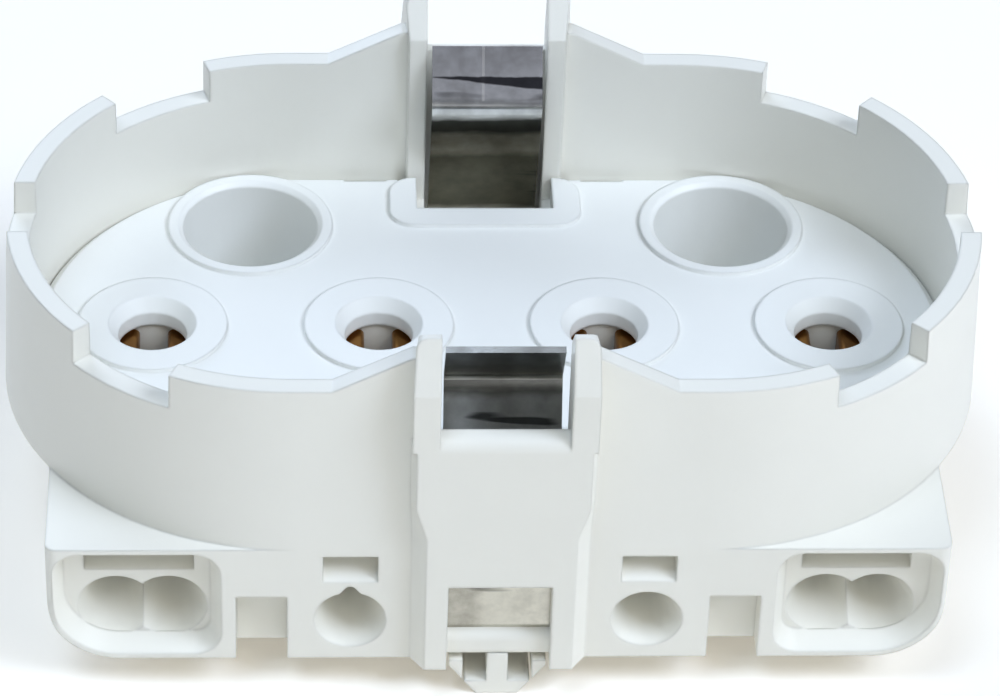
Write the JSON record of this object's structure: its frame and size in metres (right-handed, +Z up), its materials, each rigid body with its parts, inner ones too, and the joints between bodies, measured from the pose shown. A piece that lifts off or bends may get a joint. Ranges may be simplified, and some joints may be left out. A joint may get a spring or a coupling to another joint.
{
  "type": "compact fluorescent lamp socket",
  "caption": "White moulded lamp holder: a notched oval cup with a row of pin sockets, key wells, steel lamp clips, push-in wire entries and snap feet.",
  "frame": {"origin": "centre of the base's underside, in the plane that rests on the mounting plate", "axes": "+X along the row of pins, +Y from the wire entries to the back, +Z up out of the cup"},
  "size_m": [0.0688, 0.0432, 0.0308],
  "materials": {
    "white_plastic": "satin moulded white",
    "cover_plastic": "satin moulded white",
    "spring_steel": "bright rolled stainless strip",
    "brass": "plain rolled brass strip"
  },
  "bodies": {
    "root": {"housing": "white_plastic", "contact_cover": "cover_plastic", "lamp_clip_front": "spring_steel", "lamp_clip_rear": "spring_steel", "pin_contact_1": "brass", "wire_spring_1": "spring_steel", "pin_contact_2": "brass", "wire_spring_2": "spring_steel", "pin_contact_3": "brass", "wire_spring_3": "spring_steel", "pin_contact_4": "brass", "wire_spring_4": "spring_steel"}
  },
  "joints": []
}
